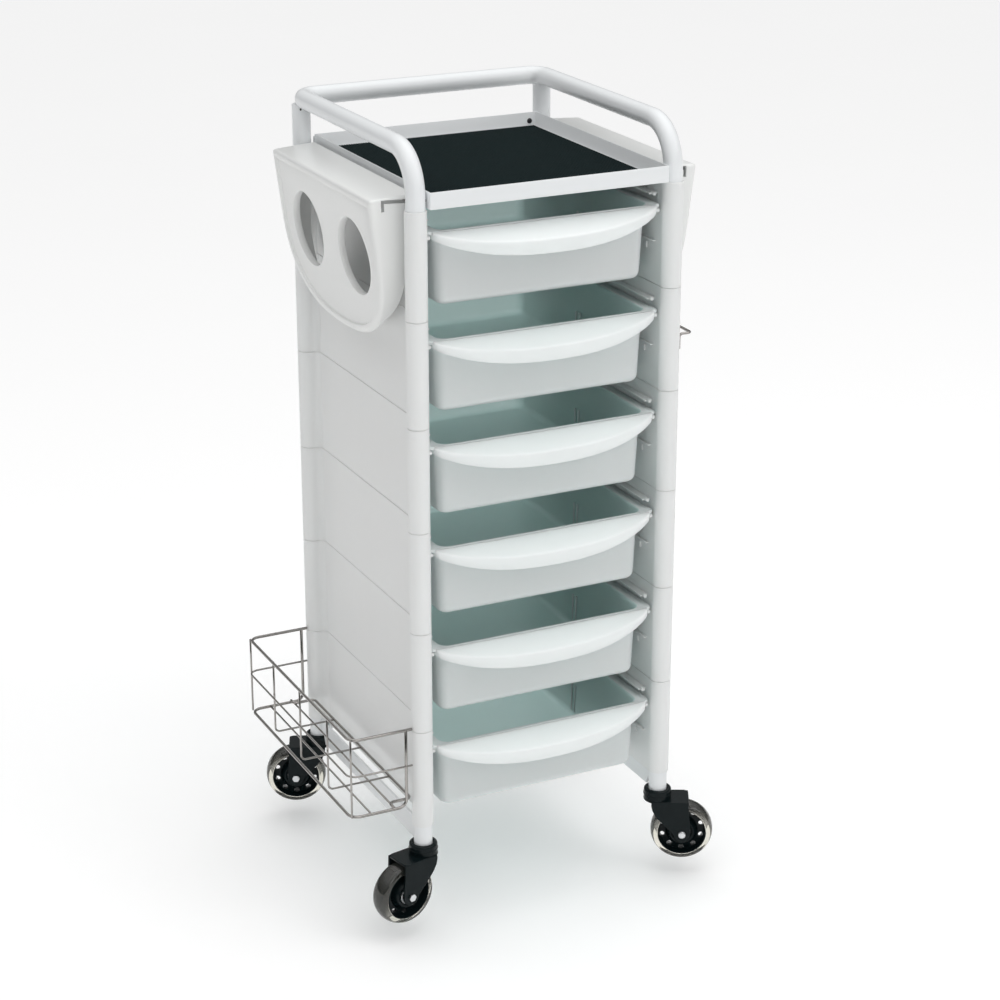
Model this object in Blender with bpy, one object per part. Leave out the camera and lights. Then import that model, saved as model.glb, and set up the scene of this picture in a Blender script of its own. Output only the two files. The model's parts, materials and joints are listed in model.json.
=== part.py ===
"""Rolling salon trolley: a tube frame on four swivel casters, two stacks of side modules that carry
six drawers, a top tray, a flip-up dryer holder on each side, a wire basket and a wire rail.
Metres, +Z up, floor at z = 0, drawers open towards -Y."""

import math

import bmesh
import bpy
from mathutils import Matrix, Vector
from mathutils.geometry import tessellate_polygon

# ---- driving dimensions ------------------------------------------------------------------------
GAP = 0.0003                    # clearance left between touching pieces
PITCH = 0.120                   # height of one module
MODULES = 6
WHEEL_R = 0.0375
AXLE_DROP = 0.798               # from the module tops down to the wheel axles
TOP = WHEEL_R + AXLE_DROP       # top of the module stacks
POST_X = 0.1546                 # half spacing of the posts, left to right
POST_FRONT = -0.1616
POST_REAR = 0.1555              # the rear posts stand a little in front of the hoop's rear rail
POST_DROP = 0.745               # from the module tops down to the post ends
TUBE_R = 0.01075
TUBE_WALL = 0.0015
RAIL_RISE = 0.061               # rail centreline above the module tops
FRONT_BEND = 0.048
REAR_BEND = 0.020
HOOP_REAR = 0.1616
ROUND = 16                      # sides of tubes and sleeves
SIDES = {"left": -1, "right": 1}

# basket and wheels reach out by different amounts: these offsets centre the footprint
CENTRE_X = 0.0142
CENTRE_Y = 0.00305

SLEEVE_R = 0.01225
WEB_OUT = 0.1457                # side web, outer face
WEB_IN = 0.1432                 # side web, inner face
LEDGE_IN = 0.133                # how far in the runner ledges reach
LEDGES = ((-0.0170, -0.0150), (-0.0318, -0.0298), (-0.0710, -0.0695))   # below each module top
LEDGE_FRONT = -0.1475
LEDGE_REAR = 0.1415

DRAWER_TOP = -0.0255            # drawer rim, below its module's top
DRAWER_REACH = 0.1413           # half width over the flanges
DRAWER_WALL = 0.0021
HANDLE_HALF = 0.1355
HANDLE_BACK = -0.1580
HANDLE_BULGE = 0.028
HANDLE_DIP = 0.0135
HANDLE_TIP = 0.0080             # height of the grip's front face at its ends
HANDLE_FACE = 0.0086            # how much taller that face is in the middle

TRAY_X = 0.1430
TRAY_FRONT = -0.1736
TRAY_REAR = 0.1462              # the rear wall stands just in front of the rear posts
TRAY_LOW = 0.0012               # above the module tops
TRAY_HIGH = 0.0198
TRAY_WALL = 0.0015
MAT_THICK = 0.002
MAT_MARGIN = 0.0045
SCREW_RISE = 0.0095
TRAY_BAR = (0.0065, 0.0165)     # height of the flat bar behind the tray, above the module tops
BAR_HALF = 0.1430
BAR_THICK = 0.0040

HOLDER_HALF = 0.140
HOLDER_TOP = 0.0095
HOLDER_STRAIGHT = -0.060        # the sides run straight down to here, then curve
HOLDER_DEPTH = 0.163
HOLDER_REACH = 0.197
HOLDER_TILT = 0.125
HOLDER_WALL = 0.0025
HOLDER_POWER = 2.5
DRYER_R = 0.043
DRYER_Y = 0.066
DRYER_Z = -0.0685
PIVOT_X = 0.1536
PIVOT_Z = 0.0050
PIVOT_R = 0.0018
SLOT_X = (0.1850, 0.1886)       # the short leg of the L-shaped slot in the holder's ends

RIM_WIRE = 0.0018
THIN_WIRE = 0.0012
BASKET_REACH = 0.243
BASKET_FRONT = -0.1625
BASKET_REAR = 0.1535
BASKET_TOP = -0.597
BASKET_LOW = -0.693
WIRE_INNER = POST_X + SLEEVE_R + 0.0004     # wire ends stop just short of the sleeves

RAIL_WIRE = 0.0016
RAIL_REACH = 0.1842
RAIL_DROP = -0.178

TREAD_BORE = 0.0292             # radius at which the tread meets the wheel core
TRAIL = 0.030
CASTERS = {                     # side, post and the way each caster trails, in degrees
    "front_left": (-1, POST_FRONT, -168.0),
    "front_right": (1, POST_FRONT, -28.0),
    "rear_left": (-1, POST_REAR, 157.0),
    "rear_right": (1, POST_REAR, 28.0),
}

# ---- materials ---------------------------------------------------------------------------------
FINISHES = {                    # colour, roughness, metallic
    "white_paint": ((0.80, 0.81, 0.82), 0.35, 0.0),
    "module_plastic": ((0.78, 0.79, 0.78), 0.45, 0.0),
    "drawer_plastic": ((0.62, 0.72, 0.71), 0.35, 0.0),
    "holder_plastic": ((0.77, 0.78, 0.77), 0.40, 0.0),
    "mat_rubber": ((0.008, 0.016, 0.017), 0.75, 0.0),
    "chrome": ((0.60, 0.58, 0.57), 0.18, 1.0),
    "caster_plastic": ((0.010, 0.013, 0.014), 0.20, 0.0),
    "tyre_plastic": ((0.42, 0.39, 0.30), 0.30, 0.0),
    "steel": ((0.62, 0.63, 0.64), 0.30, 1.0),
    "dark_steel": ((0.10, 0.10, 0.11), 0.40, 1.0),
}


def clear_scene():
    for thing in list(bpy.data.objects):
        bpy.data.objects.remove(thing)


def finish(name):
    """The named Principled material, made once."""
    found = bpy.data.materials.get(name)
    if found:
        return found
    colour, roughness, metallic = FINISHES[name]
    made = bpy.data.materials.new(name)
    made.use_nodes = True
    shader = made.node_tree.nodes["Principled BSDF"]
    shader.inputs["Base Color"].default_value = (*colour, 1.0)
    shader.inputs["Roughness"].default_value = roughness
    shader.inputs["Metallic"].default_value = metallic
    made.diffuse_color = (*colour, 1.0)
    return made


# ---- mesh helpers ------------------------------------------------------------------------------
def solid(name, points, faces, look=None, smooth=True):
    """One closed mesh object with its faces turned outwards."""
    mesh = bpy.data.meshes.new(name)
    mesh.from_pydata([tuple(p) for p in points], [], faces)
    work = bmesh.new()
    work.from_mesh(mesh)
    bmesh.ops.recalc_face_normals(work, faces=work.faces)
    if work.calc_volume(signed=True) < 0:
        bmesh.ops.reverse_faces(work, faces=work.faces)
    work.to_mesh(mesh)
    work.free()
    thing = bpy.data.objects.new(name, mesh)
    bpy.context.scene.collection.objects.link(thing)
    if look:
        dress(thing, look, smooth)
    return thing


def dress(thing, look, smooth=True):
    thing.data.materials.clear()
    thing.data.materials.append(finish(look))
    if smooth:
        thing.data.shade_smooth()
        thing.data.set_sharp_from_angle(angle=math.radians(35))


def combine(thing, tools, operation):
    """Joins or cuts thing with each tool by an exact Boolean, and removes the tools."""
    for tool in tools:
        change = thing.modifiers.new("combine", "BOOLEAN")
        change.operation = operation
        change.solver = "EXACT"
        change.object = tool
        bpy.context.view_layer.update()
        view = bpy.context.evaluated_depsgraph_get()
        mesh = bpy.data.meshes.new_from_object(thing.evaluated_get(view))
        thing.modifiers.clear()
        thing.data = mesh
        bpy.data.objects.remove(tool)
    return thing


def loft(name, rings, look=None, wrap=False):
    """Skin over rings with equal point counts: capped at both ends, or wrapped back to the first."""
    count = len(rings[0])
    points = [p for ring in rings for p in ring]
    faces = []
    spans = len(rings) if wrap else len(rings) - 1
    for i in range(spans):
        low = i * count
        high = ((i + 1) % len(rings)) * count
        for j in range(count):
            k = (j + 1) % count
            faces.append((low + j, low + k, high + k, high + j))
    if not wrap:
        faces.append(tuple(range(count - 1, -1, -1)))
        faces.append(tuple(range((len(rings) - 1) * count, len(rings) * count)))
    return solid(name, points, faces, look)


def lathe(name, profile, sides, look=None, half_step=False):
    """Turns a closed (radius, height) profile about Z; a profile that touches the axis ends there."""
    phase = 0.5 if half_step else 0.0
    turned = [math.tau * (i + phase) / sides for i in range(sides)]
    open_ends = profile[0][0] == 0.0
    body = profile[1:-1] if open_ends else profile
    rings = [[Vector((r * math.cos(a), r * math.sin(a), z)) for a in turned] for r, z in body]
    return loft(name, rings, look, wrap=not open_ends)


def prism(name, outline, depth, holes=(), look=None, place=None):
    """Extrudes an outline with holes, drawn in XY, from z = depth[0] to z = depth[1]."""
    loops = [list(outline)] + [list(hole) for hole in holes]
    flat = [Vector((x, y, 0.0)) for loop in loops for x, y in loop]
    count = len(flat)
    caps = tessellate_polygon([[Vector((x, y, 0.0)) for x, y in loop] for loop in loops])
    points = [(p.x, p.y, depth[0]) for p in flat] + [(p.x, p.y, depth[1]) for p in flat]
    faces = [tuple(tri) for tri in caps]
    faces += [tuple(i + count for i in reversed(tri)) for tri in caps]
    start = 0
    for loop in loops:
        for j in range(len(loop)):
            a = start + j
            b = start + (j + 1) % len(loop)
            faces.append((a, b, b + count, a + count))
        start += len(loop)
    thing = solid(name, points, faces, look)
    if place:
        thing.data.transform(place)
        if place.determinant() < 0:
            thing.data.flip_normals()
    return thing


def box(name, low, high, look=None):
    outline = ((low[0], low[1]), (high[0], low[1]), (high[0], high[1]), (low[0], high[1]))
    return prism(name, outline, (low[2], high[2]), look=look)


def circle(radius, sides, centre=(0.0, 0.0), start=0.0, sweep=math.tau):
    """Points on a circle, or on an arc of it when sweep is short."""
    steps = sides if sweep == math.tau else sides + 1
    angles = [start + sweep * i / sides for i in range(steps)]
    return [(centre[0] + radius * math.cos(a), centre[1] + radius * math.sin(a)) for a in angles]


def rounded(corners, radius, steps):
    """A polyline whose inner corners are replaced by arcs of the given radii."""
    corners = [Vector(c) for c in corners]
    radii = radius if isinstance(radius, (list, tuple)) else [radius] * (len(corners) - 2)
    path = [corners[0]]
    for i, r in enumerate(radii, start=1):
        back = (corners[i - 1] - corners[i]).normalized()
        ahead = (corners[i + 1] - corners[i]).normalized()
        half = back.angle(ahead) / 2
        centre = corners[i] + (back + ahead).normalized() * (r / math.sin(half))
        first = corners[i] + back * (r / math.tan(half)) - centre
        turn = math.pi - 2 * half
        axis = first.cross(back).normalized() * -1
        for step in range(steps + 1):
            path.append(centre + Matrix.Rotation(turn * step / steps, 3, axis) @ first)
    path.append(corners[-1])
    return path


def rings_along(path, radius, sides):
    """Rings of points square to a path, carried along it without twist."""
    rings = []
    tangent = (path[1] - path[0]).normalized()
    normal = tangent.orthogonal().normalized()
    if abs(tangent.z) > 0.99:
        normal = Vector((1.0, 0.0, 0.0))
    for i, point in enumerate(path):
        before = (path[i] - path[i - 1]).normalized() if i else tangent
        after = (path[i + 1] - path[i]).normalized() if i + 1 < len(path) else before
        heading = (before + after).normalized()
        normal = tangent.rotation_difference(heading) @ normal
        tangent = heading
        across = tangent.cross(normal)
        stretch = 1.0 / max(heading.dot(after), 0.5)
        bend = (after - before).normalized() if (after - before).length > 1e-6 else None
        ring = []
        for j in range(sides):
            angle = math.tau * j / sides
            arm = (normal * math.cos(angle) + across * math.sin(angle)) * radius
            if bend:
                arm += bend * arm.dot(bend) * (stretch - 1.0)
            ring.append(point + arm)
        rings.append(ring)
    return rings


def wire(name, path, radius, sides, look=None):
    return loft(name, rings_along(path, radius, sides), look)


def pipe(name, path, outer, inner, sides, look=None):
    """A hollow tube, open at both ends."""
    skin = rings_along(path, outer, sides)
    bore = rings_along(path, inner, sides)
    return loft(name, skin + bore[::-1], look, wrap=True)


# ---- frame -------------------------------------------------------------------------------------
def hoop_path():
    foot = TOP - POST_DROP
    rail = TOP + RAIL_RISE
    corners = (
        (-POST_X, POST_FRONT, foot), (-POST_X, POST_FRONT, rail), (-POST_X, HOOP_REAR, rail),
        (POST_X, HOOP_REAR, rail), (POST_X, POST_FRONT, rail), (POST_X, POST_FRONT, foot),
    )
    return rounded(corners, (FRONT_BEND, REAR_BEND, REAR_BEND, FRONT_BEND), 5)


def screw_hole(side):
    """Cutter for the screw that ties the tray to one front post."""
    turn = Matrix.Translation((0, POST_FRONT, TOP + SCREW_RISE)) @ Matrix.Rotation(math.pi / 2, 4, "Y")
    reach = (side * 0.1355, side * 0.1490)
    return prism("cut", circle(0.0022, 10), (min(reach), max(reach)), place=turn)


def frame_tubes():
    hoop = pipe("hoop_tube", hoop_path(), TUBE_R, TUBE_R - TUBE_WALL, ROUND)
    combine(hoop, [screw_hole(side) for side in SIDES.values()], "DIFFERENCE")
    dress(hoop, "white_paint")
    parts = [hoop]
    for name, side in SIDES.items():
        path = [Vector((side * POST_X, POST_REAR, z)) for z in (TOP - POST_DROP, TOP + RAIL_RISE - 0.007)]
        post = pipe("rear_post_" + name, path, TUBE_R, TUBE_R - TUBE_WALL, ROUND)
        cutter = wire("cut", hoop_path(), TUBE_R + GAP, ROUND)
        combine(post, [cutter], "DIFFERENCE")
        dress(post, "white_paint")
        parts.append(post)
    return parts


def cross_bars():
    """Flat bars between the feet of the posts, a round bar at the rear, and the tray's rear bar."""
    front, rear = POST_FRONT + TUBE_R + GAP, POST_REAR - TUBE_R - GAP
    low, shoulder, high = TOP - 0.749, TOP - 0.739, TOP - 0.7205
    outline = ((front, high), (front, shoulder), (front + 0.010, shoulder), (front + 0.014, low),
               (rear - 0.014, low), (rear - 0.010, shoulder), (rear, shoulder), (rear, high))
    stand = Matrix(((0, 0, 1, 0), (1, 0, 0, 0), (0, 1, 0, 0), (0, 0, 0, 1)))
    parts = []
    for name, side in SIDES.items():
        edges = sorted((side * (POST_X - 0.0015), side * (POST_X + 0.0015)))
        parts.append(prism("lower_rail_" + name, outline, edges, look="white_paint", place=stand))
    half_x = POST_X - TUBE_R - GAP
    path = [Vector((x, POST_REAR, TOP - 0.733)) for x in (-half_x, half_x)]
    parts.append(wire("lower_rear_bar", path, 0.008, 12, "white_paint"))
    near, far = TRAY_REAR + GAP, TRAY_REAR + GAP + BAR_THICK
    low, high = TOP + TRAY_BAR[0], TOP + TRAY_BAR[1]
    parts.append(box("tray_rear_bar", (-BAR_HALF, near, low), (BAR_HALF, far, high), "white_paint"))
    return parts


# ---- side modules ------------------------------------------------------------------------------
def module_outline(side):
    """Plan of a side module: a sleeve on each post, joined by a web near the inner tangents."""
    near = math.acos((POST_X - WEB_IN) / SLEEVE_R)
    far = math.acos((POST_X - WEB_OUT) / SLEEVE_R)
    centre = (-POST_X, POST_FRONT)
    front = circle(SLEEVE_R, 11, centre, start=far, sweep=math.tau - far + near)
    rear = [(x, POST_FRONT + POST_REAR - y) for x, y in reversed(front)]
    return [(side * -x, y) for x, y in front + rear]


def side_module(name, side, level):
    top = TOP - level * PITCH
    low = top - PITCH + GAP
    facets = 12
    clear = (TUBE_R + GAP) / math.cos(math.pi / facets)
    bore = [circle(clear, facets, (side * POST_X, y)) for y in (POST_FRONT, POST_REAR)]
    body = prism(name, module_outline(side), (low, top), bore)
    runners = []
    for low_edge, high_edge in LEDGES:
        reach = LEDGE_IN if high_edge > -0.05 else WEB_IN - 0.004
        edges = sorted((side * reach, side * (WEB_IN + 0.001)))
        runners.append(box("join", (edges[0], LEDGE_FRONT, top + low_edge),
                           (edges[1], LEDGE_REAR, top + high_edge)))
    combine(body, runners, "UNION")
    dress(body, "module_plastic")
    return body


# ---- drawers -----------------------------------------------------------------------------------
def plan_ring(half, front, rear, corner, z, steps=2):
    """A rounded rectangle in plan."""
    ring = []
    centres = ((half - corner, rear - corner), (corner - half, rear - corner),
               (corner - half, corner - front), (half - corner, corner - front))
    for quarter, centre in enumerate(centres):
        start = quarter * math.pi / 2
        for x, y in circle(corner, steps, centre, start, math.pi / 2):
            ring.append(Vector((x, y, z)))
    return ring


def drawer_tub(level):
    top = TOP - level * PITCH
    wall = DRAWER_WALL
    levels = (                  # half width, front, rear, corner radius, height
        (0.1205, 0.1470, 0.1430, 0.008, -0.1110),
        (0.1252, 0.1517, 0.1475, 0.012, -0.1045),
        (0.1272, 0.1527, 0.1490, 0.013, -0.0600),
        (0.1290, 0.1590, 0.1505, 0.014, -0.0295),
        (DRAWER_REACH, 0.1605, 0.1545, 0.006, -0.0295),
        (DRAWER_REACH, 0.1605, 0.1545, 0.006, DRAWER_TOP),
        (0.1290 - wall, 0.1590 - wall, 0.1505 - wall, 0.012, DRAWER_TOP),
        (0.1272 - wall, 0.1527 - wall, 0.1490 - wall, 0.011, -0.0600),
        (0.1252 - wall, 0.1517 - wall, 0.1475 - wall, 0.010, -0.1035),
        (0.1205 - wall, 0.1470 - wall, 0.1430 - wall, 0.006, -0.1088),
    )
    return [plan_ring(half, front, rear, corner, top + z) for half, front, rear, corner, z in levels]


def drawer_handle(level):
    """Crescent grip: a curved lip that hangs from the rim and tapers to both ends."""
    top = TOP - level * PITCH
    stations = 12
    rings = []
    for i in range(stations + 1):
        s = 2 * i / stations - 1
        swell = 1 - abs(s) ** 2.2
        y = -0.163 - HANDLE_BULGE * swell
        z = top - 0.0262 - HANDLE_DIP * swell
        face = HANDLE_TIP + HANDLE_FACE * swell
        section = ((HANDLE_BACK, top - 0.0262), (y, z), (y, z - face), (y + 0.0025, z - face),
                   (y + 0.0025, z - 0.0028), (HANDLE_BACK, top - 0.0290))
        rings.append([Vector((HANDLE_HALF * s, yy, zz)) for yy, zz in section])
    return rings


def drawer(name, level):
    body = loft(name, drawer_tub(level))
    grip = loft("join", drawer_handle(level))
    combine(body, [grip], "UNION")
    dress(body, "drawer_plastic")
    return body


# ---- tray --------------------------------------------------------------------------------------
def tray():
    low, high, wall = TOP + TRAY_LOW, TOP + TRAY_HIGH, TRAY_WALL
    shell = box("tray", (-TRAY_X, TRAY_FRONT, low), (TRAY_X, TRAY_REAR, high))
    well = box("cut", (wall - TRAY_X, wall + TRAY_FRONT, low + wall),
               (TRAY_X - wall, TRAY_REAR - wall, high + 0.01))
    combine(shell, [well] + [screw_hole(side) for side in SIDES.values()], "DIFFERENCE")
    dress(shell, "white_paint")
    edge = TRAY_X - wall - MAT_MARGIN
    base = low + wall + GAP
    mat = box("tray_mat", (-edge, TRAY_FRONT + wall + MAT_MARGIN, base),
              (edge, TRAY_REAR - wall - MAT_MARGIN, base + MAT_THICK), "mat_rubber")
    return [shell, mat]


def tray_screw(name, side):
    """Pan-head screw from inside the tray into a front post."""
    seat = TRAY_X - TRAY_WALL - GAP
    head, neck, tip = seat - 0.0024, seat, 0.1482
    profile = ((0.0, head), (0.0026, head), (0.0036, head + 0.0009), (0.0036, neck),
               (0.0019, neck), (0.0019, tip), (0.0, tip))
    screw = lathe(name, profile, 10, "dark_steel")
    turn = Matrix.Rotation(side * math.pi / 2, 4, "Y")
    screw.data.transform(turn)
    screw.location = (0.0, POST_FRONT, TOP + SCREW_RISE)
    return screw


# ---- dryer holders -----------------------------------------------------------------------------
def holder_outline(inset):
    """D shape in (y, z): straight top and upper sides, and a full curve below."""
    half = HOLDER_HALF - inset
    sag = HOLDER_DEPTH + HOLDER_STRAIGHT - inset
    points = [(-half, HOLDER_TOP - inset), (half, HOLDER_TOP - inset)]
    steps = 20
    for i in range(steps + 1):
        angle = math.pi * i / steps
        across = math.copysign(abs(math.cos(angle)) ** (2 / HOLDER_POWER), math.cos(angle))
        down = math.sin(angle) ** (2 / HOLDER_POWER) if 0 < i < steps else 0.0
        points.append((half * across, HOLDER_STRAIGHT - sag * down))
    return points


def holder_plate_x(z):
    return HOLDER_REACH - HOLDER_TILT * (HOLDER_TOP - z)


def holder_edge_x(z):
    return 0.149 + 0.007 * min(1.0, (HOLDER_TOP - z) / 0.065)


def dryer_holder(name, side):
    """A shallow cup open towards the trolley, with two round holes in its tilted outer plate."""
    wall = HOLDER_WALL
    outer, inner = holder_outline(0.0), holder_outline(wall)
    holes = [circle(DRYER_R, 20, (y, DRYER_Z)) for y in (-DRYER_Y, DRYER_Y)]
    rows = (
        ([outer] + holes, lambda z: holder_plate_x(z)),
        ([inner] + holes, lambda z: holder_plate_x(z) - wall),
        ([outer], lambda z: holder_edge_x(z)),
        ([inner], lambda z: holder_edge_x(z)),
    )
    points = []
    starts = []
    for loops, reach in rows:
        starts.append(len(points))
        points += [(side * reach(z), y, TOP + z) for loop in loops for y, z in loop]
    faces = []
    for row in (0, 1):
        flat = [[Vector((y, z, 0.0)) for y, z in loop] for loop in rows[row][0]]
        faces += [tuple(i + starts[row] for i in tri) for tri in tessellate_polygon(flat)]
    count = len(outer)
    for first, second in ((0, 2), (2, 3), (3, 1)):
        for j in range(count):
            a, b = starts[first], starts[second]
            k = (j + 1) % count
            faces.append((a + j, a + k, b + k, b + j))
    for hole in range(2):
        shift = count + hole * 20
        for j in range(20):
            a, b = starts[0] + shift, starts[1] + shift
            k = (j + 1) % 20
            faces.append((a + j, a + k, b + k, b + j))
    cup = solid(name, points, faces)
    low, high, foot = PIVOT_Z - 0.0021, PIVOT_Z + 0.0021, PIVOT_Z - 0.0105
    near, far = SLOT_X
    slot = ((0.1514, low), (near, low), (near, foot), (far, foot), (far, high), (0.1514, high))
    for end in (-1, 1):
        reach = sorted((end * (HOLDER_HALF - 0.006), end * (HOLDER_HALF + 0.004)))
        stand = Matrix(((side, 0, 0, 0), (0, 0, 1, 0), (0, 1, 0, TOP), (0, 0, 0, 1)))
        combine(cup, [prism("cut", slot, reach, place=stand)], "DIFFERENCE")
    dress(cup, "holder_plastic")
    return cup


def pivot_rod(name, side):
    ends = (POST_FRONT + TUBE_R + GAP, POST_REAR - TUBE_R - GAP)
    path = [Vector((side * PIVOT_X, y, TOP + PIVOT_Z)) for y in ends]
    return wire(name, path, PIVOT_R, 10, "chrome")


# ---- wire goods --------------------------------------------------------------------------------
def wire_basket():
    """Basket hung low on the left: rim, floor loop with upturned ends, inner wire and cross wires."""
    top, low = TOP + BASKET_TOP, TOP + BASKET_LOW
    reach, front, rear = -BASKET_REACH, BASKET_FRONT, BASKET_REAR
    inner, upright, lift = -WIRE_INNER, -0.175, low + 0.0026
    rim = rounded(((inner, front, top), (reach, front, top), (reach, rear, top), (inner, rear, top)), 0.012, 4)
    loop = rounded(((upright, front, top + 0.001), (upright, front, low), (reach, front, low),
                    (reach, rear, low), (upright, rear, low), (upright, rear, top + 0.001)),
                   (0.010, 0.012, 0.012, 0.010), 4)
    curled = rounded(((-0.1915, front, lift), (-0.1915, -0.150, lift), (-0.1645, -0.150, lift),
                      (-0.1645, 0.143, lift), (-0.1915, 0.143, lift), (-0.1915, rear, lift)), (0.006,) * 4, 4)
    basket = wire("wire_basket_left", rim, RIM_WIRE, 6)
    thick = [wire("join", path, RIM_WIRE, 6) for path in (loop, curled)]
    middle = top - 0.0445
    thin = [rounded(((inner - 0.0005, front - 0.0015, middle), (reach - 0.002, front - 0.0015, middle),
                     (reach - 0.002, rear + 0.0015, middle), (inner - 0.0005, rear + 0.0015, middle)), 0.012, 3)]
    for y in (front + 0.001, rear - 0.001):
        thin.append([Vector((reach + 0.0008, y, low)), Vector((reach + 0.0008, y, top))])
    side, floor = reach + 0.0022, low + 0.0022
    for y in (-0.089, -0.005, 0.079):
        thin.append(rounded(((side, y, top - 0.0005), (side, y, floor), (-0.1640, y, floor)), 0.006, 3))
    for x in (-0.2190, -0.1895):
        thin.append([Vector((x, front + 0.0005, low + 0.0006)), Vector((x, rear - 0.0005, low + 0.0006))])
    thin = [wire("join", path, THIN_WIRE, 5) for path in thin]
    combine(basket, thick + thin, "UNION")
    dress(basket, "chrome")
    return basket


def wire_rail():
    """Wire rail on the right: a long bar that stands off the sleeves, with turned-down ends."""
    z = TOP + RAIL_DROP
    foot = z - 0.0175
    near, reach = WIRE_INNER + RAIL_WIRE, RAIL_REACH
    front, rear = POST_FRONT + 0.001, POST_REAR - 0.001
    corners = ((near, front, foot), (near, front, z), (reach, front, z),
               (reach, rear, z), (near, rear, z), (near, rear, foot))
    path = rounded(corners, 0.004, 3)
    return wire("wire_rail_right", path, RAIL_WIRE, 6, "chrome")


# ---- casters -----------------------------------------------------------------------------------
def caster_stem(name):
    """Plug inside the post end, shoulder under it, and the pin that the fork turns on."""
    post = TOP - POST_DROP
    profile = ((0.0, post + 0.030), (0.0080, post + 0.030), (0.0089, post + 0.028), (0.0089, post - GAP),
               (0.0105, post - GAP), (0.0105, post - 0.003), (0.0050, post - 0.003), (0.0050, 0.0770),
               (0.0080, 0.0770), (0.0080, 0.0745), (0.0, 0.0745))
    return lathe(name, profile, 12, "steel")


def caster_fork(name):
    """Hooded fork: a round collar, a roof over the wheel and two cheeks that narrow to the axle."""
    roof_low, roof_high, collar_top = 0.0773, 0.0800, 0.0930
    collar = lathe(name, ((0.0054, roof_low), (0.0165, roof_low), (0.0165, 0.0895), (0.0140, collar_top),
                          (0.0115, collar_top), (0.0115, 0.0820), (0.0054, 0.0820)), 18)
    reach = TRAIL + 0.008
    edge = circle(0.0165, 8, start=math.pi / 2, sweep=math.pi)
    hood = [(x, y * 1.085) for x, y in edge] + [(reach, -0.0179), (reach, 0.0179)]
    bore = circle(0.0075, 8)
    roof = prism("join", hood, (roof_low + 0.0002, roof_high), [bore])
    boss = circle(0.0100, 6, (TRAIL, WHEEL_R), start=math.radians(195), sweep=math.radians(175))
    side_view = [(-0.0150, roof_high - 0.0004), (-0.0158, 0.0700), (-0.0080, 0.0600), (0.0040, 0.0490),
                 (0.0130, 0.0420)] + boss + [(0.0385, 0.0500), (reach - 0.0002, 0.0660),
                                             (reach - 0.0002, roof_high - 0.0004)]
    stand = Matrix(((1, 0, 0, 0), (0, 0, 1, 0), (0, 1, 0, 0), (0, 0, 0, 1)))
    hole = circle(0.0035, 8, (TRAIL, WHEEL_R))
    cheeks = [prism("join", side_view, depth, [hole], place=stand)
              for depth in ((-0.0178, -0.0145), (0.0145, 0.0178))]
    combine(collar, [roof] + cheeks, "UNION")
    dress(collar, "caster_plastic")
    return collar


def caster_axle(name):
    head, shank = 0.0046, 0.0030
    outer, seat = 0.0206, 0.0181
    profile = ((0.0, -outer), (head, -outer), (head, -seat), (shank, -seat),
               (shank, seat), (head, seat), (head, outer), (0.0, outer))
    axle = lathe(name, profile, 8, "steel")
    axle.data.transform(Matrix.Rotation(math.pi / 2, 4, "X"))
    return axle


def wheel_piece(name, profile, sides, look):
    """A ring of the wheel, turned about its axle, with a flat of its rim facing the floor."""
    piece = lathe(name, profile, sides, look, half_step=True)
    piece.data.transform(Matrix.Rotation(math.pi / 2, 4, "X"))
    return piece


def wheel_pieces(tag):
    sides = 24
    run = WHEEL_R / math.cos(math.pi / sides)
    rim = TREAD_BORE
    tyre = ((rim + GAP, -0.0120), (run - 0.0025, -0.0120), (run, -0.0070),
            (run, 0.0070), (run - 0.0025, 0.0120), (rim + GAP, 0.0120))
    core = ((0.0108, -0.0120), (0.0160, -0.0085), (rim - 0.0035, -0.0085), (rim, -0.0120),
            (rim, 0.0120), (rim - 0.0035, 0.0085), (0.0160, 0.0085), (0.0108, 0.0120))
    bearing = ((0.0035, -0.0125), (0.0105, -0.0125), (0.0105, 0.0125), (0.0035, 0.0125))
    return [
        wheel_piece("tyre_" + tag, tyre, sides, "tyre_plastic"),
        wheel_piece("wheel_core_" + tag, core, sides, "caster_plastic"),
        wheel_piece("wheel_bearing_" + tag, bearing, 12, "steel"),
    ]


def caster(tag, side, post_y, heading):
    """One caster: the stem stays in the post, the fork swivels on it and the wheel spins in the fork."""
    stand = (side * POST_X, post_y, 0.0)
    stem = caster_stem("caster_stem_" + tag)
    stem.location = stand
    swivel = bpy.data.objects.new("swivel_" + tag, None)
    swivel.location = stand
    swivel.rotation_euler = (0.0, 0.0, math.radians(heading))
    bpy.context.scene.collection.objects.link(swivel)
    hub = bpy.data.objects.new("hub_" + tag, None)
    hub.location = (TRAIL, 0.0, WHEEL_R)
    hub.parent = swivel
    bpy.context.scene.collection.objects.link(hub)
    caster_fork("caster_fork_" + tag).parent = swivel
    caster_axle("caster_axle_" + tag).parent = hub
    for piece in wheel_pieces(tag):
        piece.parent = hub
    return [stem, swivel]


# ---- assembly ----------------------------------------------------------------------------------
def build():
    clear_scene()
    parts = frame_tubes() + cross_bars() + tray()
    for name, side in SIDES.items():
        for level in range(MODULES):
            parts.append(side_module("side_module_%s_%d" % (name, level + 1), side, level))
        parts.append(dryer_holder("dryer_holder_" + name, side))
        parts.append(pivot_rod("holder_pivot_rod_" + name, side))
        parts.append(tray_screw("tray_screw_" + name, side))
    for level in range(MODULES):
        parts.append(drawer("drawer_%d" % (level + 1), level))
    parts += [wire_basket(), wire_rail()]
    for tag, (side, post_y, heading) in CASTERS.items():
        parts += caster(tag, side, post_y, heading)
    trolley = bpy.data.objects.new("trolley", None)
    trolley.location = (CENTRE_X, CENTRE_Y, 0.0)
    bpy.context.scene.collection.objects.link(trolley)
    for part in parts:
        part.parent = trolley
    bpy.context.view_layer.update()


build()
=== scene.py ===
import json
import math

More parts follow.
